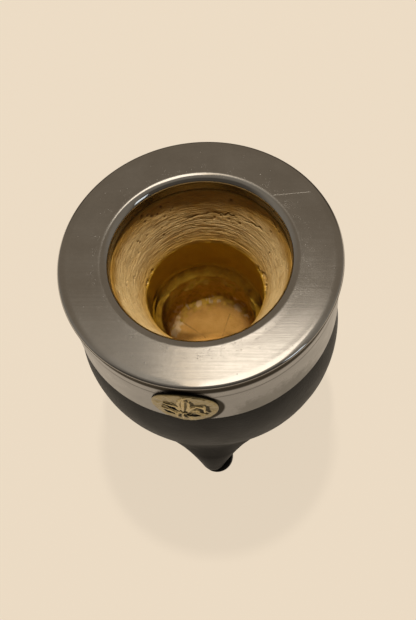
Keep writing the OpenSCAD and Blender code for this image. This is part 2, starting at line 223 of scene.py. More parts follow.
for chip_bearing, chip_depth, chip_r in chips:
    centre = placed(math.radians(chip_bearing), 22.3, chip_depth)
    dent = row_is_inside * np.exp(-(np.linalg.norm(skin - centre, axis=-1) / chip_r) ** 2)
    dent = dent * (1 + 0.9 * grain(skin, 0.55, 43))
    outward += 0.85 * dent
    torn_and_ledge_shade = np.maximum(torn_and_ledge_shade, 0.8 * dent * rising(grain(skin, 0.5, 44), 0, 0.5))
    pale = np.maximum(pale, 0.8 * dent * rising(-grain(skin, 0.5, 44), 0.1, 0.4))

# Natural inside: smooth bore, broken ledge, mottled shelf and a rough hollow with a cracked floor
below = row_is_inside * rising(depth, 44.5, 46.5)
in_hollow = row_is_inside * rising(depth, 50, 54)
on_floor = row_is_inside * rising(depth, 74, 78)
outward += row_is_inside * rising(depth, 28, 31) * 0.07 * grain(skin, 6, 51)
outward += below * 0.28 * (grain(skin, 2.6, 52) + 0.6 * grain(skin, 1.1, 53))
outward += in_hollow * (1 - on_floor) * (0.7 * grain(skin, 6, 54) + 0.35 * grain(skin, 2, 55))
flow = grain(around * [2.4, 2.4, 0.22], 1, 57)
torn_and_ledge_shade = np.maximum(torn_and_ledge_shade, 0.55 * below * (1 - on_floor) * rising(flow + 0.4 * grain(skin, 1.5, 58), 0.1, 0.8))
# Painted shade: a dark ring just under the ledge's broken edge
torn_and_ledge_shade = np.maximum(torn_and_ledge_shade, row_is_inside * np.exp(-((depth - 45.6) / 0.45) ** 2) * 0.9)
# Floor cracks as (bearing, radius, depth) points, and pale flecks of lining with their size as well; the
# one at bearing 134 is painted light on a wall in the key light's shade
floor_cracks = [[(142.4, 19.4, 75.4), (138.9, 15.9, 78.2), (135, 12.6, 79.5), (125.5, 6.7, 80)],
                [(67.2, 17.2, 77.3), (67.5, 15.1, 78.6), (66.8, 12.4, 79.6), (60.9, 7.1, 80)]]
for crack in floor_cracks:
    line = [placed(math.radians(at_bearing), at_radius, at_depth)
            for at_bearing, at_radius, at_depth in crack]
    reach = to_line(skin, line) + 0.5 * jag
    torn_and_ledge_shade = np.maximum(torn_and_ledge_shade, 0.5 * row_is_inside * np.exp(-(reach / 0.22) ** 2))
patches = [(147, 21.1, 73.1, 3), (157, 20.7, 73.7, 3), (136, 21.5, 72.2, 1.6), (160, 18.5, 76.3, 3),
           (150, 18.8, 76, 2.6), (110, 20.8, 73.4, 1.6), (94, 21, 73.2, 1.7), (86, 20.7, 73.6, 1.2),
           (58.1, 20.3, 74.3, 1.7), (124, 21.5, 72.4, 1.3), (43.5, 20.1, 74.5, 1.2), (66, 22, 71, 0.9),
           (52, 22, 71, 0.9), (134, 22, 71.5, 2.2), (142, 22, 70, 1.5)]
for patch_bearing, patch_radius, patch_depth, patch_r in patches:
    centre = placed(math.radians(patch_bearing), patch_radius, patch_depth)
    reach = np.linalg.norm(skin - centre, axis=-1) + 1.5 * grain(skin, 1.3, 61) + 0.7 * grain(skin, 0.6, 62)
    pale = np.maximum(pale, row_is_inside * rising(-reach, -patch_r, -0.4 * patch_r))
ledge_drop = row_is_inside * rising(depth, 38, 42) * rising(-depth, -52, -50)
sag = ledge_drop * (ledge_tilt * radius * np.cos(bearing) - 1.3 + 0.5 * grain(around * [2, 2, 0], 1, 63))
floor_bumps = on_floor * 0.35 * grain(skin, 5, 64)

# Painted shadow: the lip's far side darkens the wall below it, traced along the key light's slope
drop = 0.313 * (depth - lip_depth)
below_lip = np.hypot(radius * np.cos(bearing), radius * np.sin(bearing) + drop) + 0.35 * grain(skin, 3, 65)
painted_lip_shadow = row_is_inside * rising(-depth, -20, -16) * rising(below_lip, 29.6, 31.6)
# Painted shade on the near side of the bore, the ledge, the shelf, the hollow and its floor
toward_front = -np.sin(bearing)
near_shade_ledge = rising(depth, 42, 43.2) * rising(-depth, -76, -73) * rising(toward_front, -0.5, -0.2)
near_shade_bore = rising(depth, 27.2, 28) * rising(-depth, -45, -43) * rising(toward_front, -0.2, 0.1)
near_shade_floor = 0.75 * rising(depth, 74, 77) * rising(radius * toward_front, -8.5, -6)
painted_near_shade = row_is_inside * np.maximum(np.maximum(near_shade_ledge, near_shade_bore), near_shade_floor)

gourd_skin = placed(bearing, radius + outward, depth + sag + floor_bumps) * mm
gourd_skin[..., 2] += top_z
calabash = mesh_piece("calabash", gourd_skin, ring_faces(len(outline), gourd_steps, False),
                      {"torn_and_ledge_shade": torn_and_ledge_shade, "pale": pale, "painted_lip_shadow": painted_lip_shadow, "painted_near_shade": painted_near_shade})


def new_finish(name, sockets):
    """A material for one finish of the cup, with these sockets of its shader set"""
    finish = bpy.data.materials.new(name)
    finish.use_nodes = True
    for socket, value in sockets.items():
        finish.node_tree.nodes["Principled BSDF"].inputs[socket].default_value = value
    return finish


def node(finish, kind, inputs=None, **settings):
    """A shader node with its settings, and its inputs joined or set"""
    made = finish.node_tree.nodes.new("ShaderNode" + kind)
    for setting, value in settings.items():
        setattr(made, setting, value)
    for socket, value in (inputs or {}).items():
        if isinstance(value, bpy.types.NodeSocket):
            finish.node_tree.links.new(value, made.inputs[socket])
        else:
            made.inputs[socket].default_value = value
    return made


def into_shader(finish, socket, value):
    """Joins a value to a socket of the finish's shader"""
    finish.node_tree.links.new(value, finish.node_tree.nodes["Principled BSDF"].inputs[socket])


def on_vectors(finish, operation, one, two=(0, 0, 0)):
    """One sum on two vectors, whose result is a vector or, for a length or dot product, a value"""
    result = "Value" if operation in ("LENGTH", "DOT_PRODUCT") else "Vector"
    return node(finish, "VectorMath", {0: one, 1: two}, operation=operation).outputs[result]


def place(finish, stretch=(1, 1, 1)):
    """Place on the cup, stretched along each axis"""
    return on_vectors(finish, "MULTIPLY", node(finish, "TexCoord").outputs["Object"], stretch)


def round_axis(finish, where):
    """Level direction from the cup's axis, of length 1"""
    return on_vectors(finish, "NORMALIZE", on_vectors(finish, "MULTIPLY", where, (1, 1, 0)))


def part_of(finish, vector, axis):
    """A vector's part along X, Y or Z"""
    return node(finish, "SeparateXYZ", {0: vector}).outputs[axis]


def cloud(finish, where, size, detail=3.0, roughness=0.55):
    """Noise around 0.5 with features of this size"""
    return node(finish, "TexNoise", {"Vector": where, "Scale": 1 / size, "Detail": detail,
                                     "Roughness": roughness}).outputs["Fac"]


def span(finish, value, low, high, to_low=0.0, to_high=1.0):
    """The value between low and high, carried to another range and held at its ends"""
    return node(finish, "MapRange", {"Value": value, "From Min": low, "From Max": high,
                                     "To Min": to_low, "To Max": to_high}).outputs["Result"]


def reckon(finish, operation, one, two=0.0):
    """One sum on two values"""
    return node(finish, "Math", {0: one, 1: two}, operation=operation).outputs[0]


def mixed(finish, share, low, high, how="MIX"):
    """Two colours mixed by a share"""
    return node(finish, "Mix", {0: share, 6: low, 7: high}, data_type="RGBA", blend_type=how).outputs[2]


def raised(finish, heights):
    """Joins bumps to the shader, each a height and its depth in metres"""
    normal = None
    for height, bump_depth in heights:
        inputs = {"Height": height, "Distance": bump_depth}
        if normal:
            inputs["Normal"] = normal
        normal = node(finish, "Bump", inputs).outputs["Normal"]
    into_shader(finish, "Normal", normal)


def dress(piece, cad_node, finish):
    """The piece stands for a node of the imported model, in the same slot, and gets its finish"""
    piece.data.materials.append(finish)
    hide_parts(cad_node)
    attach(piece, "root")


tan = (0.56, 0.375, 0.152, 1)
straw = (0.69, 0.515, 0.25, 1)
fleck_brown = (0.27, 0.16, 0.055, 1)
sap_brown = (0.41, 0.25, 0.09, 1)
throat_tint = (0.74, 0.63, 0.37, 1)
bore_brown = (0.50, 0.285, 0.014, 1)
bore_amber = (0.58, 0.335, 0.022, 1)
shelf_olive = (0.66, 0.42, 0.05, 1)
shelf_brown = (0.50, 0.29, 0.03, 1)
hollow_brown = (0.52, 0.355, 0.025, 1)
hollow_olive = (0.68, 0.44, 0.085, 1)
floor_gold = (0.64, 0.36, 0.10, 1)
floor_copper = (0.54, 0.29, 0.07, 1)
near_black = (0.10, 0.050, 0.016, 1)
pale_tan = (0.74, 0.57, 0.33, 1)
lip_shadow_tint = (0.52, 0.40, 0.18, 1)
near_shade_tint = (0.30, 0.25, 0.20, 1)

flesh = new_finish("turned_calabash", {"Roughness": 0.85, "Specular IOR Level": 0.25})
where = place(flesh)
below_top = reckon(flesh, "SUBTRACT", top_z, part_of(flesh, where, "Z"))
fibres = on_vectors(flesh, "MULTIPLY", round_axis(flesh, where), (9, 9, 0))
fibres = on_vectors(flesh, "ADD", fibres, on_vectors(flesh, "MULTIPLY", where, (0, 0, 2600)))
threads = cloud(flesh, fibres, 1, 4.0, 0.65)
flecks = cloud(flesh, fibres, 0.5, 3.0, 0.75)
mottle = cloud(flesh, where, 0.005)
specks = cloud(flesh, where, 0.0006, 2.0, 0.6)
fine_mottle = cloud(flesh, where, 0.0022, 4.0, 0.6)

# Each part of the wall has its own two colours, and takes over at its depth below the top face
turned_colour = mixed(flesh, span(flesh, threads, 0.34, 0.62), tan, straw)
turned_colour = mixed(flesh, span(flesh, flecks, 0.54, 0.64, 0.0, 0.5), turned_colour, fleck_brown)
turned_colour = mixed(flesh, span(flesh, mottle, 0.35, 0.75, 0.0, 0.35), turned_colour, sap_brown)
turned_colour = mixed(flesh, span(flesh, below_top, 0.020, 0.0262), turned_colour, throat_tint, "MULTIPLY")
bore_colour = mixed(flesh, span(flesh, mottle, 0.3, 0.7), bore_brown, bore_amber)
shelf_colour = mixed(flesh, span(flesh, mottle, 0.35, 0.65), shelf_olive, shelf_brown)
hollow_colour = mixed(flesh, span(flesh, fine_mottle, 0.35, 0.65), hollow_brown, hollow_olive)
floor_colour = mixed(flesh, span(flesh, mottle, 0.3, 0.7), floor_gold, floor_copper)
ragged = span(flesh, cloud(flesh, where, 0.004, 4.0, 0.6), 0.3, 0.7, -0.003, 0.003)
ragged = reckon(flesh, "ADD", below_top, ragged)
colour = mixed(flesh, span(flesh, below_top, 0.0265, 0.0283), turned_colour, bore_colour)
colour = mixed(flesh, span(flesh, below_top, 0.0425, 0.0445), colour, shelf_colour)
colour = mixed(flesh, span(flesh, ragged, 0.0495, 0.0515), colour, hollow_colour)
colour = mixed(flesh, span(flesh, ragged, 0.0725, 0.0765), colour, floor_colour)
colour = mixed(flesh, span(flesh, specks, 0.66, 0.8, 0.0, 0.5), colour, near_black)
# Marks painted into the colour: pale patches (one is painted light), torn fibre with painted shade under
# the ledge, the lip's painted shadow, and painted shade on the near side
for mark, strength, tint, how in (("pale", 0.8, pale_tan, "MIX"), ("torn_and_ledge_shade", 1.0, near_black, "MIX"),
                                  ("painted_lip_shadow", 1.0, lip_shadow_tint, "MULTIPLY"),
                                  ("painted_near_shade", 1.0, near_shade_tint, "MULTIPLY")):
    marked = node(flesh, "Attribute", attribute_name=mark).outputs["Fac"]
    colour = mixed(flesh, reckon(flesh, "MULTIPLY", marked, strength), colour, tint, how)
into_shader(flesh, "Base Color", colour)
raised(flesh, [(threads, 0.00035), (specks, 0.0001)])
dress(calabash, "gourd", flesh)

# Foot cores and their screws: three turned wooden cores seated on the gourd, each held by a
# steel screw through its middle. The leather hides them, so they keep their plain shapes.
core_wood = new_finish("core_wood", {"Roughness": 0.7})
lengthwise = cloud(core_wood, place(core_wood, (1, 1, 0.12)), 0.0007, 4.0, 0.6)
into_shader(core_wood, "Base Color", mixed(core_wood, span(core_wood, lengthwise, 0.35, 0.65),
                                           (0.50, 0.34, 0.18, 1), (0.36, 0.22, 0.10, 1)))
raised(core_wood, [(lengthwise, 0.0001)])
screw_steel = new_finish("screw_steel", {"Metallic": 1.0})
turning = cloud(screw_steel, place(screw_steel, (1, 1, 6)), 0.0008, 3.0, 0.6)
into_shader(screw_steel, "Base Color", mixed(screw_steel, turning, (0.42, 0.42, 0.40, 1),
                                             (0.58, 0.57, 0.54, 1)))
into_shader(screw_steel, "Roughness", span(screw_steel, turning, 0.3, 0.7, 0.25, 0.45))


def refinish(cad_node, finish):
    """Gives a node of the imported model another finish, with its shape as it is"""
    for slot in frame["nodes"][cad_node].material_slots:
        slot.material = finish


for side in ("front", "right", "left"):
    refinish("leg_core_" + side, core_wood)
refinish("leg_screws", screw_steel)

# Leather cover: one skin of black vegetable-tanned leather, soaked, drawn over the ball and
# the feet, and closed by a butted seam down the back. It dries hard and takes a satin wax.
ball_r = 51.4
skin_t = 1.8
leather_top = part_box("leather_cover")[1].z
toe_r = 5.1
toe_dist = 65.52
blend_r = 100
blend_bite = 0.5
leg_tilt = math.radians(42.9)
leg_bearings = [math.radians(-90 + 120 * number) for number in range(3)]
leg_share = math.radians(36)


def leg_outline():
    """Points along a leg's outline from its toe's end to the ball, along and aside from its axis"""
    centre = np.array([0.0, 0.0])
    to_centre = ball_r + blend_r - blend_bite
    to_toe = toe_r + blend_r
    centre[0] = (to_centre ** 2 - to_toe ** 2 + toe_dist ** 2) / (2 * toe_dist)
    centre[1] = math.sqrt(to_centre ** 2 - centre[0] ** 2)
    toe_end = math.atan2(centre[1], centre[0] - toe_dist)
    toe = [(toe_dist + toe_r * math.cos(turn), toe_r * math.sin(turn))
           for turn in np.linspace(0, toe_end, 24)]
    start = toe_end + math.pi
    end = math.atan2(-centre[1], -centre[0]) % (2 * math.pi)
    bend = [(centre[0] + blend_r * math.cos(turn), centre[1] + blend_r * math.sin(turn))
            for turn in np.linspace(start, end, 90)[1:-1]]
    rest = [(ball_r * math.cos(turn), ball_r * math.sin(turn))
            for turn in np.linspace(math.atan2(centre[1], centre[0]) + 0.01, leg_share, 20)]
    return np.array(toe + bend + rest)


def over_feet(directions):
    """Points of the leather for unit directions from the ball's centre, drawn out at the feet"""
    points = directions * ball_r
    edge = leg_outline()
    along = np.concatenate([[0], np.cumsum(np.linalg.norm(np.diff(edge, axis=0), axis=1))])
    for leg_bearing in leg_bearings:
        axis = np.array([math.sin(leg_tilt) * math.cos(leg_bearing),
                         math.sin(leg_tilt) * math.sin(leg_bearing), -math.cos(leg_tilt)])
        lean = directions @ axis
        turn = np.arccos(np.clip(lean, -1, 1))
        near = turn < leg_share
        aside = directions[near] - lean[near, None] * axis
        aside /= np.maximum(np.linalg.norm(aside, axis=1), 1e-9)[:, None]
        reach = turn[near] / leg_share * along[-1]
        points[near] = (np.interp(reach, along, edge[:, 0])[:, None] * axis
                        + np.interp(reach, along, edge[:, 1])[:, None] * aside)
    return points


def leather_mesh():
    """The leather as one skin, with extra edges along its back seam"""
    made = bmesh.new()
    bmesh.ops.create_icosphere(made, subdivisions=7, radius=1)
    for line in (-1.6, -0.9, -0.45, -0.2, 0, 0.2, 0.45, 0.9, 1.6):
        back_faces = [face for face in made.faces if min(vert.co.y for vert in face.verts) > 0]
        parts = {part for face in back_faces for part in (*face.verts, *face.edges)}
        bmesh.ops.bisect_plane(made, geom=list(parts) + back_faces, dist=1e-6,
                               plane_co=(line / ball_r, 0, 0), plane_no=(1, 0, 0))
    bmesh.ops.remove_doubles(made, verts=made.verts[:], dist=0.0008)
    bmesh.ops.triangulate(made, faces=made.faces[:])
    points = np.array([vert.co for vert in made.verts])
    points /= np.linalg.norm(points, axis=1)[:, None]
    shaped = over_feet(points)
    outward = shaped / np.linalg.norm(shaped, axis=1)[:, None]
    swell = 0.09 * grain(shaped, 9, 71) + 0.03 * grain(shaped, 3, 72)
    back = (shaped[:, 1] > 0) * rising(-shaped[:, 2], -25, -20) * rising(shaped[:, 2], -50.2, -48)
    across = np.abs(shaped[:, 0])
    pucker = 0.75 + 0.25 * np.cos(np.arctan2(shaped[:, 1], shaped[:, 2]) * ball_r * 2 * math.pi / 5.2)
    seam = -0.75 * np.exp(-(across / 0.28) ** 2) + 0.3 * pucker * np.exp(-((across - 0.95) / 0.5) ** 2)
    shaped = shaped + outward * (swell - 0.12 + back * seam)[:, None]
    for vert, point in zip(made.verts, shaped):
        vert.co = point * mm
        vert.co.z += ball_z
    bmesh.ops.bisect_plane(made, geom=made.verts[:] + made.edges[:] + made.faces[:], dist=1e-7,
                           plane_co=(0, 0, leather_top), plane_no=(0, 0, 1), clear_outer=True)
    mesh = bpy.data.meshes.new("leather_skin")
    made.to_mesh(mesh)
    made.free()
    mesh.shade_smooth()
    return mesh


leather_skin = bpy.data.objects.new("leather_skin", leather_mesh())
bpy.context.scene.collection.objects.link(leather_skin)
thickness = leather_skin.modifiers.new("skin_thickness", "SOLIDIFY")
thickness.thickness = skin_t * mm
thickness.offset = -1

waxed_leather = new_finish("waxed_leather", {"Sheen Roughness": 0.5})
where = place(waxed_leather)
above_table = part_of(waxed_leather, where, "Z")
# Specular and sheen drop to 0.15 on the lower ball and the tops of the feet, and stay strong above and
# under the toes
sheen_share_ball = span(waxed_leather, above_table, 0.034, 0.053, 0.15, 1.0)
sheen_share_toes = span(waxed_leather, above_table, 0.019, 0.010, 0.15, 0.9)
sheen_share = reckon(waxed_leather, "MAXIMUM", sheen_share_ball, sheen_share_toes)
into_shader(waxed_leather, "Specular IOR Level", reckon(waxed_leather, "MULTIPLY", sheen_share, 0.19))
into_shader(waxed_leather, "Sheen Weight", reckon(waxed_leather, "MULTIPLY", sheen_share, 0.052))
pores = node(waxed_leather, "TexVoronoi", {"Vector": where, "Scale": 1 / 0.0009}).outputs["Distance"]
creases = cloud(waxed_leather, where, 0.0011, 4.0, 0.65)
rubbed = cloud(waxed_leather, where, 0.012, 4.0, 0.6)
into_shader(waxed_leather, "Base Color", mixed(waxed_leather, span(waxed_leather, rubbed, 0.3, 0.7),
                                               (0.0095, 0.0088, 0.008, 1), (0.0165, 0.015, 0.0132, 1)))
into_shader(waxed_leather, "Roughness", span(waxed_leather, rubbed, 0.3, 0.7, 0.5, 0.62))
raised(waxed_leather, [(pores, 0.00004), (creases, 0.00006)])
dress(leather_skin, "leather_cover", waxed_leather)

# Seam thread: slanted stitches of waxed black thread down the back. Each is a twisted cord
# that comes out of one edge's hole, crosses the seam and goes down through the other's.
thread_r = 0.4
stitch_l = 4.2
stitch_slant = math.radians(24)
stitch_step = 5.2
seam_end = 12
band_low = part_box("collar_band")[0].z
first_turn = math.acos((band_low - ball_z) / (ball_r * mm)) + stitch_step / ball_r
last_turn = math.pi - seam_end / ball_r
stitch_count = int((last_turn - first_turn) * ball_r / stitch_step) + 1
thread_points = []
thread_faces = []
rings_each, sides = 25, 12
for number in range(stitch_count):
    turn = first_turn + number * stitch_step / ball_r
    out = np.array([0, math.sin(turn), math.cos(turn)])
    down = np.array([0, math.cos(turn), -math.sin(turn)])
    across = np.array([-math.cos(stitch_slant), 0, 0]) - math.sin(stitch_slant) * down
    side = np.cross(out, across)
    rows = []
    for ring in range(rings_each):
        share = ring / (rings_each - 1) * 2 - 1
        lift = ball_r - 0.15 + 0.47 * (1 - share ** 4) - 0.5 * abs(share) ** 6
        middle = out * lift + across * (stitch_l / 2 * share) * (1 - 0.06 * abs(share) ** 3)
        for corner in range(sides):
            angle = 2 * math.pi * corner / sides
            ply = 1 + 0.14 * math.cos(3 * (angle - 2.2 * share * math.pi))
            thick = thread_r * ply * (1 - 0.3 * abs(share) ** 8)
            rows.append(middle + thick * (math.cos(angle) * out + math.sin(angle) * side))
    base = number * rings_each * sides
    thread_points.append(np.array(rows) * mm + [0, 0, ball_z])
    thread_faces += [tuple(base + corner for corner in face)
                     for face in ring_faces(rings_each, sides, False)]
stitches = mesh_piece("back_stitches", np.concatenate(thread_points), thread_faces)
waxed_thread = new_finish("waxed_thread", {"Roughness": 0.6})
yarn = cloud(waxed_thread, place(waxed_thread), 0.00025)
into_shader(waxed_thread, "Base Color", mixed(waxed_thread, yarn, (0.012, 0.011, 0.010, 1),
                                              (0.05, 0.045, 0.04, 1)))
raised(waxed_thread, [(yarn, 0.00005)])
dress(stitches, "seam_thread", waxed_thread)

# Rubber tips: three moulded black rubber cups pressed on the toes. Each is a ball cut flat
# underneath, with a sloping round rim, and has slipped a little to one side of its toe.
tip_r = 6.9
tip_h = 6
tip_slope = math.tan(math.radians(20))
tip_rise = 5.5
tip_shift = (1.5, 1.6)
toe_reach = 44.6
toe_z = 6.8
tip_gap = 0.1
tip_steps = 160
rubber = new_finish("tip_rubber", {"Roughness": 0.48, "Specular IOR Level": 0.4})
where = place(rubber)
bloom = cloud(rubber, where, 0.002, 4.0, 0.6)
into_shader(rubber, "Base Color", mixed(rubber, bloom, (0.006, 0.006, 0.0055, 1), (0.013, 0.012, 0.011, 1)))
raised(rubber, [(cloud(rubber, where, 0.0003), 0.00003)])


def tip_points():
    """Rings of points over one rubber tip, from its sole, over its rim and into its socket"""
    turn = np.linspace(0, 2 * math.pi, tip_steps, endpoint=False)
    way = np.stack([np.cos(turn), np.sin(turn)], 1)
    rise_way = np.array(tip_shift) / np.linalg.norm(tip_shift)
    rim_z = np.full(tip_steps, float(tip_h))
    for _ in range(30):
        rim_r = np.sqrt(tip_r ** 2 - (rim_z - tip_rise) ** 2)
        rim_z = tip_h + tip_slope * rim_r * (way @ rise_way)
    toe = np.array([-tip_shift[0], -tip_shift[1], toe_z])
    leg_up = np.array([0, math.sin(leg_tilt), math.cos(leg_tilt)])
    low, high = np.zeros(tip_steps), np.full(tip_steps, 12.0)
    for _ in range(40):
        middle = (low + high) / 2
        spot = toe[:2] + way * middle[:, None]
        spot = np.concatenate([spot, (tip_h + tip_slope * (spot @ rise_way))[:, None]], 1)
        back = np.maximum((spot - toe) @ leg_up, 0)
        from_leg = np.linalg.norm(spot - toe - back[:, None] * leg_up, axis=1)
        within = from_leg < toe_r + tip_gap
        low, high = np.where(within, middle, low), np.where(within, high, middle)
    inner = spot
    sole_r = math.sqrt(tip_r ** 2 - tip_rise ** 2)
    rings = [np.concatenate([way * share * sole_r, np.zeros((tip_steps, 1))], 1)
             for share in (0.02, 0.5, 0.93)]
    rings.append(np.concatenate([way * sole_r, np.full((tip_steps, 1), 0.12)], 1))
    for share in np.linspace(0.06, 0.93, 22):
        at_z = share * rim_z
        at_r = np.sqrt(tip_r ** 2 - (at_z - tip_rise) ** 2)
        rings.append(np.concatenate([way * at_r[:, None], at_z[:, None]], 1))
    outer = np.concatenate([way * rim_r[:, None], rim_z[:, None]], 1)
    for share, sink in ((0.02, 0.2), (0.1, 0.06), (0.25, 0.0), (0.5, 0.0), (0.8, 0.0), (0.97, 0.08)):
        ring = outer + (inner - outer) * share
        ring[:, 2] -= sink
        rings.append(ring)
    for share in (0.2, 0.4, 0.6, 0.8, 0.97):
        reach = inner - toe
        bottom = -leg_up * (toe_r + tip_gap)
        ring = reach * (1 - share) + bottom * share
        ring *= ((toe_r + tip_gap) / np.linalg.norm(ring, axis=1))[:, None]
        rings.append(toe + ring)
    return np.array(rings)


tip_rings = tip_points()
tip_middle = np.array([tip_shift[0], tip_shift[1] - toe_reach, 0])
for side, leg_bearing in zip(("front", "right", "left"), leg_bearings):
    spin = Matrix.Rotation(leg_bearing + math.pi / 2, 3, "Z")
    tip = mesh_piece("rubber_tip_" + side, (tip_rings + tip_middle) @ np.array(spin).T * mm,
                     ring_faces(len(tip_rings), tip_steps, False))
    dress(tip, "foot_tip_" + side, rubber)

# Collar band: a strip of stainless steel rolled and welded to a ring, brushed, with a
# shallow crease under its top edge. Its lower edge stands proud of the leather.
band_low_box, band_high_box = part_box("collar_band")
band_r = (band_high_box.x - band_low_box.x) / 2 / mm
band_top_depth = (top_z - band_high_box.z) / mm
band_low_depth = (top_z - band_low_box.z) / mm
band_lean = 0.9
band_t = 0.8
crease_drop = 7.6
edge_round = 0.28
ring_steps = 480
crease_r = band_r - 0.52
band_outline = [
    (band_r - band_lean - band_t, band_top_depth), (band_r - band_lean - 0.1, band_top_depth),
    (band_r - band_lean, band_top_depth + 0.1), (crease_r - 0.03, band_top_depth + crease_drop - 0.25),
    (crease_r, band_top_depth + crease_drop), (crease_r + 0.03, band_top_depth + crease_drop + 0.3),
    (band_r - 0.3, band_low_depth - 9), (band_r - 0.02, band_low_depth - edge_round),
    (band_r - 0.1, band_low_depth - 0.08), (band_r - edge_round, band_low_depth),
    (band_r - band_t + 0.1, band_low_depth), (band_r - band_t, band_low_depth - 0.1),
]
bearing, radius, depth = turned(drawn_out(band_outline + band_outline[:1], 0.35)[:-1], ring_steps)
skin = placed(bearing, radius, depth)
dents = 0.012 * grain(skin, 14, 81)
band_skin = placed(bearing, radius + dents - 0.012, depth) * mm
band_skin[..., 2] += top_z
band = mesh_piece("steel_band", band_skin, ring_faces(len(band_skin), ring_steps, True))

white = (1, 1, 1, 1)
band_dark = (0.208, 0.201, 0.195, 1)
band_pale = (0.252, 0.244, 0.237, 1)
dried_tea = (0.105, 0.10, 0.078, 1)
shade_black = (0.03, 0.028, 0.025, 1)
shade_glare = (0.5, 0.48, 0.45, 1)
medal_mid = (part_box("medallion")[0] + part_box("medallion")[1]) / 2
medal_shade_mid = (medal_mid.x + 1.2 * mm, medal_mid.y, medal_mid.z - 1.2 * mm)

band_steel = new_finish("band_steel", {"Metallic": 1.0})
where = place(band_steel)
level_way = round_axis(band_steel, where)
lines = on_vectors(band_steel, "MULTIPLY", level_way, (12, 12, 0))
lines = on_vectors(band_steel, "ADD", lines, on_vectors(band_steel, "MULTIPLY", where, (0, 0, 5200)))
brushing = cloud(band_steel, lines, 1, 4.0, 0.7)
smears = cloud(band_steel, where, 0.006, 5.0, 0.6)
blots = cloud(band_steel, where, 0.0028, 8.0, 0.8)
above_edge = reckon(band_steel, "SUBTRACT", part_of(band_steel, where, "Z"), float(band_low_box.z))

# Tea has dried to blots right of the medallion, most of all by the lower edge
stain = span(band_steel, part_of(band_steel, level_way, "X"), 0.18, 0.34)
for fade in (span(band_steel, part_of(band_steel, level_way, "X"), 0.90, 0.70),
             span(band_steel, part_of(band_steel, level_way, "Y"), 0.0, -0.25),
             span(band_steel, above_edge, 0.016, 0.001)):
    stain = reckon(band_steel, "MULTIPLY", stain, fade)
stain = reckon(band_steel, "ADD", stain, reckon(band_steel, "MULTIPLY", blots, 1.6))
stain = span(band_steel, stain, 1.05, 1.45)

# Painted shade, black: the medallion's shadow and reflection round it, shade in the crease and under the
# bead
round_medal = on_vectors(band_steel, "LENGTH", on_vectors(band_steel, "SUBTRACT", where, medal_shade_mid))
round_medal = span(band_steel, round_medal, 0.0126, 0.0120)
in_crease = reckon(band_steel, "MULTIPLY", span(band_steel, above_edge, 0.0187, 0.0191),
                   span(band_steel, above_edge, 0.0197, 0.0193))
under_bead = span(band_steel, above_edge, 0.0222, 0.0232)
painted_band_shade = reckon(band_steel, "MULTIPLY", round_medal, 0.93)
for place_of_shade, strength in ((in_crease, 0.45), (under_bead, 0.95)):
    painted_band_shade = reckon(band_steel, "MAXIMUM", painted_band_shade, reckon(band_steel, "MULTIPLY", place_of_shade, strength))

band_colour = mixed(band_steel, span(band_steel, brushing, 0.3, 0.7), band_dark, band_pale)
band_colour = mixed(band_steel, reckon(band_steel, "MULTIPLY", stain, 0.42), band_colour, dried_tea)
# The strip above the crease is painted lighter, a painted sheen
sheen_above_crease = span(band_steel, above_edge, 0.0192, 0.0196)
band_colour = mixed(band_steel, sheen_above_crease, band_colour, (1.16, 1.16, 1.16, 1), "MULTIPLY")
into_shader(band_steel, "Base Color", mixed(band_steel, painted_band_shade, band_colour, shade_black))
into_shader(band_steel, "Specular Tint", mixed(band_steel, painted_band_shade, white, shade_glare))
into_shader(band_steel, "Roughness", reckon(band_steel, "ADD", reckon(band_steel, "MULTIPLY", stain, 0.12),
                                            span(band_steel, smears, 0.3, 0.7, 0.26, 0.34)))
raised(band_steel, [(brushing, 0.000006)])
dress(band, "collar_band", band_steel)

# Solder and resin: the fillet that joins band and plate inside, and the cast bed that fixes
# the collar on the gourd's neck. Both are hidden and keep their plain shapes.
solder = new_finish("collar_solder", {"Metallic": 1.0, "Roughness": 0.38})
drips = cloud(solder, place(solder), 0.003)
into_shader(solder, "Base Color", mixed(solder, drips, (0.50, 0.50, 0.49, 1), (0.70, 0.70, 0.68, 1)))
raised(solder, [(drips, 0.0003)])
refinish("collar_solder", solder)
cast_resin = new_finish("cast_resin", {"Roughness": 0.45})
swirls = cloud(cast_resin, place(cast_resin), 0.004, 3.0, 0.5)
into_shader(cast_resin, "Base Color", mixed(cast_resin, swirls, (0.10, 0.08, 0.055, 1),
                                            (0.20, 0.165, 0.12, 1)))
raised(cast_resin, [(swirls, 0.0001)])
refinish("resin_bed", cast_resin)

# Rim plate: one sheet of stainless steel, spun to a flat ring that rolls over outside into a
# bead and inside into a short polished lip. Its flat is brushed and has the marks of use.
rim_r = (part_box("rim_plate")[1].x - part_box("rim_plate")[0].x) / 2 / mm
mouth_r = {mount["name"]: mount for mount in frame["record"]["mounts"]}["mouth"]["dims"]["r_mm"]
roll_r = 2.4
roll_wide = 3.4
lip_drop = 6.2
plate_t = 0.8
flat_end = 46.8
shoulder_r = 28
bead_r = 1.2
bead_seat = 2.2
bead_mid = rim_r - bead_r


def bend(middle, wide, high, start, end, count):
    """Points of an elliptical bend, as radii and depths"""
    return [(middle[0] + wide * math.cos(turn), middle[1] - high * math.sin(turn))
            for turn in np.radians(np.linspace(start, end, count))]


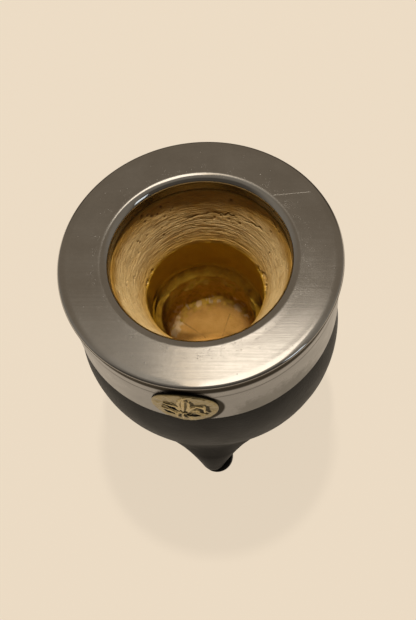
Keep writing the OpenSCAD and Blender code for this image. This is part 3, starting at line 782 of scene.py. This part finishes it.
seat_turn = -math.degrees(math.asin((bead_seat - bead_r) / bead_r))
shoulder_turn = math.degrees(math.asin((bead_mid - flat_end) / (shoulder_r - bead_r)))
shoulder_drop = (shoulder_r - bead_r) * (1 - math.cos(math.radians(shoulder_turn)))
plate_outline = [(mouth_r + 0.02, lip_drop - 0.12)]
plate_outline += bend((mouth_r + roll_wide, roll_r), roll_wide, roll_r, 180, 90, 30)
plate_outline += bend((flat_end, shoulder_r), shoulder_r, shoulder_r, 90, 90 - shoulder_turn, 14)
plate_outline += bend((bead_mid, bead_r + shoulder_drop), bead_r, bead_r, 90 - shoulder_turn, 0, 16)[1:]
plate_outline += bend((bead_mid, bead_r), bead_r, bead_r, -10, seat_turn, 12)
plate_outline += [(bead_mid - 0.4, bead_seat), (bead_mid - 0.9, plate_t + 0.3), (bead_mid - 1.4, plate_t)]
plate_outline += bend((mouth_r + roll_r, roll_r), roll_r - plate_t, roll_r - plate_t, 90, 180, 14)
plate_outline += [(mouth_r + plate_t, lip_drop - 0.1), (mouth_r + plate_t - 0.1, lip_drop),
                  (mouth_r + 0.12, lip_drop)]
bearing, radius, depth = turned(drawn_out(plate_outline + plate_outline[:1], 0.24)[:-1], ring_steps)
skin = placed(bearing, radius, depth)
dishing = 0.02 * (1 + grain(skin, 16, 91)) * rising(radius, 34, 38) * rising(-radius, -49, -45)
plate_skin = placed(bearing, radius, depth + dishing) * mm
plate_skin[..., 2] += top_z
plate = mesh_piece("rim_plate_spun", plate_skin, ring_faces(len(plate_skin), ring_steps, True))

plate_dark = (0.56, 0.535, 0.50, 1)
plate_pale = (0.63, 0.61, 0.58, 1)
haze_grey = (0.25, 0.235, 0.21, 1)
scratch_white = (0.9, 0.88, 0.84, 1)
bead_shade_dark = (0.06, 0.053, 0.047, 1)
lip_grey = (0.22, 0.205, 0.18, 1)

plate_steel = new_finish("plate_steel", {"Metallic": 1.0})
where = place(plate_steel)
from_axis = on_vectors(plate_steel, "LENGTH", on_vectors(plate_steel, "MULTIPLY", where, (1, 1, 0)))
below_top = reckon(plate_steel, "SUBTRACT", top_z, part_of(plate_steel, where, "Z"))
on_flat = reckon(plate_steel, "MULTIPLY", span(plate_steel, from_axis, 0.0335, 0.0355),
                 span(plate_steel, from_axis, 0.0484, 0.0468))
streaks = cloud(plate_steel, place(plate_steel, (55, 2600, 2600)), 1, 3.0, 0.7)
long_streaks = cloud(plate_steel, place(plate_steel, (24, 900, 900)), 1, 3.0, 0.6)
scuffs = cloud(plate_steel, where, 0.0011, 4.0, 0.7)
smudges = cloud(plate_steel, where, 0.014, 3.0, 0.5)
haze = span(plate_steel, cloud(plate_steel, where, 0.0035, 6.0, 0.75), 0.35, 0.65, 0.0, 0.16)


def scratch(start, end, width):
    """A mask along a straight scratch between two points on the plate, in millimetres"""
    start, end = np.array(start) * mm, np.array(end) * mm
    length = float(np.linalg.norm(end - start))
    way = (end - start) / length
    offset = on_vectors(plate_steel, "SUBTRACT", where, (*start, top_z))
    along = on_vectors(plate_steel, "DOT_PRODUCT", offset, (*way, 0))
    aside = on_vectors(plate_steel, "DOT_PRODUCT", offset, (-way[1], way[0], 0))
    edge = span(plate_steel, reckon(plate_steel, "ABSOLUTE", aside), width * mm, 0.0)
    ends = reckon(plate_steel, "MULTIPLY", span(plate_steel, along, 0.0, 0.001),
                  span(plate_steel, along, length, length - 0.002))
    return reckon(plate_steel, "MULTIPLY", edge, ends)


# Marks of use: nicks, four scratches, and rubs that the straw leaves beside the lip
marks = span(plate_steel, cloud(plate_steel, where, 0.0009, 1.0, 0.5), 0.76, 0.82)
for start, end, width in (((25.6, 24.5), (39.3, 25.8), 0.13), ((14.8, 33.1), (15.9, 31.6), 0.25),
                          ((33.0, 20.9), (34.0, 20.4), 0.3), ((32.2, 16.2), (32.8, 15.6), 0.25)):
    marks = reckon(plate_steel, "MAXIMUM", marks, scratch(start, end, width))
by_lip = reckon(plate_steel, "MULTIPLY", span(plate_steel, from_axis, 0.0352, 0.0362),
                span(plate_steel, from_axis, 0.0405, 0.0375))
rubs = reckon(plate_steel, "MULTIPLY",
              span(plate_steel, cloud(plate_steel, where, 0.0005, 3.0, 0.7), 0.6, 0.75),
              span(plate_steel, cloud(plate_steel, where, 0.004, 2.0, 0.5), 0.5, 0.62))
marks = reckon(plate_steel, "MAXIMUM", marks, reckon(plate_steel, "MULTIPLY", rubs, by_lip))
marks = reckon(plate_steel, "MULTIPLY", marks, on_flat)

# Painted shade darkens the bead's underside, the bead's outer rim on the far side is darkened too, and the
# lip's upright part is darker and duller
bead_shade_and_far_rim = reckon(plate_steel, "MULTIPLY", span(plate_steel, below_top, 0.0005, 0.0009),
                     span(plate_steel, from_axis, 0.046, 0.047))
far_edge = reckon(plate_steel, "MULTIPLY",
                  span(plate_steel, from_axis, (rim_r - 1.1) * mm, (rim_r - 0.7) * mm, 0.0, 0.9),
                  span(plate_steel, part_of(plate_steel, where, "Y"), 0.005, 0.02))
bead_shade_and_far_rim = reckon(plate_steel, "MAXIMUM", bead_shade_and_far_rim, far_edge)
# The lip's upright part is darker and rougher below its roll
dull_lip = reckon(plate_steel, "MULTIPLY", span(plate_steel, below_top, 0.0011, 0.0021),
                 span(plate_steel, from_axis, 0.036, 0.035))

plate_colour = mixed(plate_steel, span(plate_steel, smudges, 0.3, 0.7), plate_dark, plate_pale)
plate_colour = mixed(plate_steel, haze, plate_colour, haze_grey)
plate_colour = mixed(plate_steel, reckon(plate_steel, "MULTIPLY", marks, 0.7), plate_colour, scratch_white)
plate_colour = mixed(plate_steel, bead_shade_and_far_rim, plate_colour, bead_shade_dark)
into_shader(plate_steel, "Base Color", mixed(plate_steel, dull_lip, plate_colour, lip_grey))
into_shader(plate_steel, "Specular Tint", mixed(plate_steel, bead_shade_and_far_rim, white, shade_glare))
satin = reckon(plate_steel, "ADD", span(plate_steel, smudges, 0.3, 0.7, 0.12, 0.16),
               span(plate_steel, streaks, 0.35, 0.65, -0.02, 0.04))
satin = reckon(plate_steel, "ADD", satin, reckon(plate_steel, "MULTIPLY", marks, 0.35))
polish = reckon(plate_steel, "ADD", reckon(plate_steel, "MULTIPLY", dull_lip, 0.2), 0.07)
into_shader(plate_steel, "Roughness", node(plate_steel, "Mix", {0: on_flat, 2: polish, 3: satin},
                                           data_type="FLOAT").outputs[0])
raised(plate_steel, [(reckon(plate_steel, "MULTIPLY", streaks, on_flat), 0.000004),
                     (reckon(plate_steel, "MULTIPLY", long_streaks, on_flat), 0.000004),
                     (reckon(plate_steel, "MULTIPLY", scuffs, on_flat), 0.0000025),
                     (marks, 0.00004)])
dress(plate, "rim_plate", plate_steel)

# Medallion: a round plaque of cast brass with a lily raised from a hammered ground, bent to the
# band and riveted from inside. Wear and a painted highlight keep its high parts bright; the pockets are
# black with patina, and its side wall is painted shade.
medal_r = 11.5
ground_lift = 0.6
relief = 0.45
cut = 0.35
medal_turn = math.radians(-4.9)
medal_z = (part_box("medallion")[0].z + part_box("medallion")[1].z) / 2
medal_steps = 420
edge_half = 0.5
medal_rows = np.concatenate([np.linspace(0.02, medal_r - edge_half, 100),
                             medal_r - edge_half * np.linspace(0.9, 0, 10) ** 1.5])
turn = np.linspace(0, 2 * math.pi, medal_steps, endpoint=False)[None, :]
face_x = medal_rows[:, None] * np.cos(turn)
face_y = medal_rows[:, None] * np.sin(turn)


def stroke(x, y, line, half_widths):
    """How deep each point lies inside a drawn line with its own half width at each of its points"""
    inside_depth = np.full(x.shape, -9.0)
    for (start, end, wide, narrow) in zip(line[:-1], line[1:], half_widths[:-1], half_widths[1:]):
        run = np.subtract(end, start)
        share = np.clip(((x - start[0]) * run[0] + (y - start[1]) * run[1]) / (run @ run), 0, 1)
        reach = np.hypot(x - start[0] - share * run[0], y - start[1] - share * run[1])
        inside_depth = np.maximum(inside_depth, wide + (narrow - wide) * share - reach)
    return inside_depth


# The lily's raised lines and dark cuts: points across and up from the medallion's middle in
# millimetres, the line's half width at each, and its share of the full height or depth
raised_lines = [
    ([(0.7, 10.6), (-0.6, 8.6), (-1.7, 5.6), (-1.6, 2.2), (-1.1, -0.6)], (0.3, 0.6, 0.6, 0.55, 0.5), 0.8),
    ([(0.7, 10.6), (0.3, 7.5), (-0.2, 3), (-0.5, -1)], (0.35, 0.7, 0.75, 0.5), 1),
    ([(0.7, 10.6), (1.9, 8), (2.3, 5), (1.6, 2), (0.7, -0.8)], (0.3, 0.5, 0.75, 0.7, 0.5), 1),
    ([(-2.1, -2.4), (-1.9, -0.4), (-2.6, 1.6), (-4.1, 2.6), (-6.8, 3.4)], (0.45, 0.55, 0.65, 0.7, 0.4), 1),
    ([(-7.8, -0.9), (-5.9, -1.9), (-4.4, -3.1), (-3.3, -4)], (0.4, 0.6, 0.6, 0.4), 0.9),
    ([(-3.5, -5), (-2.7, -4.2), (-1.9, -3.1), (-0.4, -3.7), (1, -3.6), (1.9, -4.4)],
     (0.3, 0.4, 0.45, 0.45, 0.4, 0.3), 0.9),
    ([(1.2, -2.2), (1.7, -0.2), (2.6, 1.5), (4.3, 2.7), (6.4, 2.6), (7, 0.8), (6.9, -1.6)],
     (0.45, 0.6, 0.65, 0.65, 0.6, 0.6, 0.6), 1),
    ([(2.6, -1.6), (3.8, -0.6), (4.8, -1.4), (5.4, -3.2), (7.2, -5)], (0.4, 0.5, 0.5, 0.5, 0.3), 0.8),
    ([(2.2, -2.9), (3.5, -2.6), (4.3, -4.4), (6.2, -6.4)], (0.3, 0.4, 0.45, 0.3), 0.7),
    ([(-2.3, -4.8), (-3.2, -7.2), (-3.3, -8.8)], (0.4, 0.45, 0.25), 0.8),
    ([(-0.9, -4.6), (-1.1, -7.4), (-1.2, -9.6)], (0.4, 0.5, 0.25), 0.9),
    ([(0.3, -4.8), (1.3, -7.6), (2, -9.4)], (0.4, 0.45, 0.25), 0.8)]
cut_lines = [
    ([(-7, 1.5), (-5.2, 0.9), (-3.9, -0.3), (-2.9, -1.5)], (0.2, 0.75, 1.15, 0.75), 1),
    ([(-6.9, -3.7), (-5.5, -4.9), (-4.1, -5.8)], (0.5, 1.3, 0.6), 1),
    ([(-1.5, -1.9), (-0.3, -2.6), (1, -2.7)], (0.35, 0.5, 0.4), 1),
    ([(1.2, -3.4), (2.3, -3.7)], (0.3, 0.4), 0.7),
    ([(0.9, -5.3), (2.4, -5.9), (4.9, -6.4)], (0.5, 1.2, 0.3), 1),
    ([(-5.6, 5.1), (-3.5, 4.5), (-2.3, 2.9)], (0.1, 0.3, 0.15), 0.4),
    ([(2.6, 3.4), (4.4, 4.4), (7.2, 4.2)], (0.15, 0.3, 0.15), 0.4),
    ([(7.3, 3.9), (8.1, 2.2), (7.9, -0.4), (8.4, -2.5)], (0.1, 0.3, 0.45, 0.35), 0.6),
    ([(3.3, 0.9), (5.1, 0.9), (5.8, -0.4), (5.9, -2.3), (7.6, -4.2)], (0.25, 0.35, 0.45, 0.4, 0.3), 0.7),
    ([(1, 6.4), (0.6, 2), (0.2, -0.7)], (0.15, 0.1, 0.15), 0.2),
    ([(1.2, 9), (1.5, 7.8)], (0.4, 0.3), 0.6),
    ([(2.6, 7.4), (3.1, 5.4), (2.7, 3.6)], (0.2, 0.35, 0.2), 0.45),
    ([(-2.2, -6), (-2.3, -8.6)], (0.3, 0.25), 0.6),
    ([(-0.3, -5.9), (0.2, -8.4)], (0.35, 0.3), 0.7),
    ([(3.4, -4), (4.6, -5.4)], (0.2, 0.25), 0.5)]


def lily_heights(x, y):
    """Height of the lily over the ground, how deep its cuts are and where they are black"""
    high = np.zeros_like(x)
    deep = np.zeros_like(x)
    dark = np.zeros_like(x)
    for line, half_widths, share in raised_lines:
        inside_depth = stroke(x, y, line, half_widths)
        high = np.maximum(high, share * np.sqrt(1 - (1 - np.clip(inside_depth / 0.45, 0, 1)) ** 2))
    for line, half_widths, share in cut_lines:
        inside_depth = stroke(x, y, line, half_widths)
        deep = np.maximum(deep, share * rising(inside_depth, 0, 0.4))
        dark = np.maximum(dark, math.sqrt(share) * rising(inside_depth, -0.4, -0.1))
    return high * (1 - dark), deep, dark


lily, wells, blackened = lily_heights(face_x, face_y)
face = np.stack([face_x, face_y, 0 * face_x], -1)
hammered = grain(face, 1.5, 101) + 0.5 * grain(face, 0.6, 102)
rounding = 1 - rising(medal_rows[:, None], medal_r - edge_half, medal_r) ** 2 + 0 * turn
heights = ground_lift - 0.25 * (1 - rounding) + 0.15 * hammered * rounding + relief * lily - cut * wells
band_h = (band_high_box.z - band_low_box.z) / mm
seat_r = band_r - band_lean * (medal_z / mm - band_low_box.z / mm) / band_h
lean_back = -band_lean * face_y / band_h
floor_of_medal = seat_r + lean_back - 0.02
shaped_r = np.maximum(band_r + heights, floor_of_medal + 0.25)


def on_band(x, y, at_radius):
    """Points in metres at a place across and up the medallion, at a distance from the cup's axis"""
    out = np.sqrt(at_radius ** 2 - x ** 2)
    c, s = math.cos(medal_turn), math.sin(medal_turn)
    return np.stack([x * c + out * s, x * s - out * c, y + medal_z / mm], -1) * mm


front = on_band(face_x, face_y, shaped_r)
side_rows = []
for share in (0.25, 0.5, 0.75, 1.0):
    level = shaped_r[-1] * (1 - share) + floor_of_medal[-1] * share
    side_rows.append(on_band(face_x[-1], face_y[-1], level))
back_rows = [on_band(face_x[-1] * share, face_y[-1] * share,
                     floor_of_medal[-1] * share + seat_r * (1 - share)) for share in (0.7, 0.4, 0.02)]
medal_skin = np.concatenate([front, side_rows, back_rows])
# The cut pockets are black patina; the side wall and back are painted black, as painted shade
patina_and_wall_shade = np.concatenate([blackened, np.full((1, medal_steps), 0.3), np.ones((6, medal_steps))])
groove_mark = np.concatenate([rising(-hammered, 0.1, 0.9) * (1 - lily), np.ones((7, medal_steps))])
worn_and_highlit_mark = np.concatenate([lily, np.zeros((7, medal_steps))])
medallion = mesh_piece("lily_medallion", medal_skin, ring_faces(len(medal_skin), medal_steps, False),
                       {"patina_and_wall_shade": patina_and_wall_shade, "tarnish": groove_mark, "rubbed": worn_and_highlit_mark})

brass_dark = (0.25, 0.198, 0.095, 1)
brass_pale = (0.37, 0.303, 0.17, 1)
tarnish_brown = (0.20, 0.155, 0.08, 1)
patina_and_shade_black = (0.012, 0.010, 0.006, 1)
patina_and_shade_glare = (0.4, 0.38, 0.35, 1)

cast_brass = new_finish("cast_brass", {"Specular IOR Level": 0.1})
where = place(cast_brass)
blotches = cloud(cast_brass, where, 0.0016, 4.0, 0.65)
pitting = cloud(cast_brass, where, 0.00035, 2.0, 0.6)
tarnish_mark = node(cast_brass, "Attribute", attribute_name="tarnish").outputs["Fac"]
patina_and_wall_shade_mark = node(cast_brass, "Attribute", attribute_name="patina_and_wall_shade").outputs["Fac"]
worn_and_highlit = node(cast_brass, "Attribute", attribute_name="rubbed").outputs["Fac"]
brass_colour = mixed(cast_brass, span(cast_brass, blotches, 0.3, 0.7), brass_dark, brass_pale)
brass_colour = mixed(cast_brass, reckon(cast_brass, "MULTIPLY", tarnish_mark, 0.55), brass_colour,
                     tarnish_brown)
# High parts are brighter from wear and from a painted highlight
brass_colour = mixed(cast_brass, worn_and_highlit, brass_colour, (1.55, 1.52, 1.45, 1), "MULTIPLY")
into_shader(cast_brass, "Base Color", mixed(cast_brass, patina_and_wall_shade_mark, brass_colour, patina_and_shade_black))
into_shader(cast_brass, "Specular Tint", mixed(cast_brass, patina_and_wall_shade_mark, white, patina_and_shade_glare))
into_shader(cast_brass, "Metallic", span(cast_brass, patina_and_wall_shade_mark, 0.2, 0.8, 1.0, 0.0))
worn = span(cast_brass, blotches, 0.3, 0.7, 0.3, 0.42)
into_shader(cast_brass, "Roughness", reckon(cast_brass, "ADD", worn,
                                            reckon(cast_brass, "MULTIPLY", patina_and_wall_shade_mark, 0.3)))
raised(cast_brass, [(blotches, 0.00012), (pitting, 0.00004)])
dress(medallion, "medallion", cast_brass)

# Rivets: two pieces of drawn brass wire, headed inside the band, that hold the medallion.
# The resin covers their heads, so they keep their plain shapes.
rivet_brass = new_finish("rivet_brass", {"Metallic": 1.0})
drawn = cloud(rivet_brass, place(rivet_brass), 0.0006)
into_shader(rivet_brass, "Base Color", mixed(rivet_brass, drawn, (0.60, 0.47, 0.24, 1),
                                             (0.74, 0.60, 0.34, 1)))
into_shader(rivet_brass, "Roughness", span(rivet_brass, drawn, 0.3, 0.7, 0.25, 0.4))
refinish("medallion_rivets", rivet_brass)

# Studio: a pale plaster floor, one soft key light high behind the cup, and a dim warm room
# whose back wall is darker, so that the steel's far side reads dark and its near side bright.
floor_half = 4.0
floor_mesh = bpy.data.meshes.new("studio_floor")
floor_mesh.from_pydata([(-floor_half, -floor_half, 0), (floor_half, -floor_half, 0),
                        (floor_half, floor_half, 0), (-floor_half, floor_half, 0)], [], [(0, 1, 2, 3)])
floor = bpy.data.objects.new("studio_floor", floor_mesh)
bpy.context.scene.collection.objects.link(floor)
plaster = new_finish("pale_plaster", {"Roughness": 0.9, "Specular IOR Level": 0.1,
                                      "Emission Color": (1.0, 0.85, 0.665, 1), "Emission Strength": 0.75})
into_shader(plaster, "Base Color", mixed(plaster, cloud(plaster, place(plaster), 0.4),
                                         (0.059, 0.0525, 0.0437, 1), (0.063, 0.056, 0.047, 1)))
floor_mesh.materials.append(plaster)


def area_light(name, bearing_deg, rise_deg, distance, size, power, tint):
    """A soft rectangular light that faces the cup's mouth"""
    light = bpy.data.lights.new(name, "AREA")
    light.shape = "RECTANGLE"
    light.size, light.size_y = size
    light.energy = power
    light.color = tint
    lamp = bpy.data.objects.new(name, light)
    bearing_rad, rise = math.radians(bearing_deg), math.radians(rise_deg)
    level = distance * math.cos(rise)
    lamp.location = (level * math.cos(bearing_rad), level * math.sin(bearing_rad),
                     distance * math.sin(rise) + top_z)
    lamp.rotation_euler = (math.pi / 2 - rise, 0, bearing_rad + math.pi / 2)
    bpy.context.scene.collection.objects.link(lamp)
    return lamp


# The key light gives the soft shading, and the other three are seen only in the steel and brass
light_far = 2.4
warm_white = (1.0, 0.95, 0.87)
key_light = area_light("key_light", 91, 72.6, light_far, (0.13, 0.13), 80, warm_white)
key_light.visible_glossy = False
for name, bearing_deg, rise_deg, size, power, tint in (
        ("warm_glare", 92.35, 76.6, (0.563, 0.96), 1.62, (1.0, 0.82, 0.60)),
        ("white_glare", 88.9, 76.6, (0.438, 0.96), 0.95, (1.0, 1.0, 0.99)),
        ("window", -28, 34, (0.5, 0.8), 1.9, (0.80, 0.90, 1.0))):
    area_light(name, bearing_deg, rise_deg, light_far, size, power, tint).visible_diffuse = False

# A narrow spot reaches down the bore to the hollow's floor
spot_at = (-0.002, -0.335, 2.3)
spot_aim_y = 0.006
spot_drop = 2.2764
spot = bpy.data.lights.new("floor_spot", "SPOT")
spot.energy = 111
spot.color = warm_white
spot.spot_size = math.radians(1.0)
spot.spot_blend = 0.6
spot_lamp = bpy.data.objects.new("floor_spot", spot)
spot_lamp.location = spot_at
spot_lamp.rotation_euler = (math.atan2(spot_aim_y - spot_at[1], spot_drop), 0, 0)
spot_lamp.visible_glossy = False
bpy.context.scene.collection.objects.link(spot_lamp)

world = bpy.data.worlds.new("dim_room")
bpy.context.scene.world = world
world.use_nodes = True
room = world.node_tree


def room_node(kind, inputs, **settings):
    """A node of the room's light with its settings, and its inputs joined or set"""
    made = room.nodes.new("ShaderNode" + kind)
    for setting, value in settings.items():
        setattr(made, setting, value)
    for socket, value in inputs.items():
        if isinstance(value, bpy.types.NodeSocket):
            room.links.new(value, made.inputs[socket])
        else:
            made.inputs[socket].default_value = value
    return made


def room_span(value, low, high, to_high=1.0, how="LINEAR"):
    """The value between low and high, carried to between 0 and another value"""
    return room_node("MapRange", {"Value": value, "From Min": low, "From Max": high, "To Max": to_high},
                     interpolation_type=how).outputs["Result"]


def room_mixed(share, low, high, how="MIX"):
    """Two colours of the room mixed by a share"""
    return room_node("Mix", {0: share, 6: low, 7: high}, data_type="RGBA", blend_type=how).outputs[2]


wall_colour = (0.24, 0.215, 0.18, 1)
back_wall = (0.20, 0.165, 0.125, 1)
viewer_dark = (0.08, 0.07, 0.058, 1)
glow_turn = math.radians(12)
glow_rise = math.radians(72)
glow_way = (-math.sin(glow_turn) * math.cos(glow_rise), math.cos(glow_turn) * math.cos(glow_rise),
            math.sin(glow_rise))
way = room_node("TexCoord", {}).outputs["Generated"]
upward = room_node("SeparateXYZ", {0: way}).outputs["Z"]
level_way = room_node("VectorMath", {0: way, 1: (1, 1, 0)}, operation="MULTIPLY").outputs[0]
level_way = room_node("VectorMath", {0: level_way}, operation="NORMALIZE").outputs[0]
level_y = room_node("SeparateXYZ", {0: level_way}).outputs["Y"]
back_share = room_node("Math", {0: room_span(level_y, 0.35, 0.75), 1: room_span(upward, 0.93, 0.87)},
                       operation="MULTIPLY").outputs[0]
viewer_share = room_node("Math", {0: room_span(level_y, -0.1, -0.6), 1: room_span(upward, 0.95, 0.8)},
                         operation="MULTIPLY").outputs[0]
toward_glow = room_node("VectorMath", {0: way, 1: glow_way}, operation="DOT_PRODUCT").outputs["Value"]
glow = room_span(toward_glow, 0.965, 0.9976, 0.22, "SMOOTHSTEP")
glow_colour = room_node("VectorMath", {0: (1.0, 0.93, 0.82), 3: glow}, operation="SCALE").outputs[0]
walls = room_mixed(back_share, wall_colour, back_wall)
walls = room_mixed(viewer_share, walls, viewer_dark)
walls = room_mixed(1.0, walls, glow_colour, "ADD")
room.links.new(walls, room.nodes["Background"].inputs["Color"])
bpy.context.scene.view_settings.view_transform = "Standard"

# Camera: held by hand over the cup, a little to the right of the front foot and turned. It
# looks 62.5 degrees down. Its place is in metres, and its lens is the photograph's.
camera_at = (0.02456, -0.13514, 0.32510)
camera_rise = math.radians(62.514)
camera_turn = math.radians(10.3)
camera_roll = math.radians(-9.242)
focal_px = 750
frame_high_px = 620
sensor = 36
lens = bpy.data.cameras.new("camera")
lens.sensor_width = sensor
lens.lens = focal_px / frame_high_px * sensor
lens.clip_start = 0.01
camera = bpy.data.objects.new("camera", lens)
camera.matrix_world = (Matrix.Translation(camera_at) @ Matrix.Rotation(camera_turn, 4, "Z")
                       @ Matrix.Rotation(math.pi / 2 - camera_rise, 4, "X")
                       @ Matrix.Rotation(camera_roll, 4, "Z"))
bpy.context.scene.collection.objects.link(camera)
bpy.context.scene.camera = camera
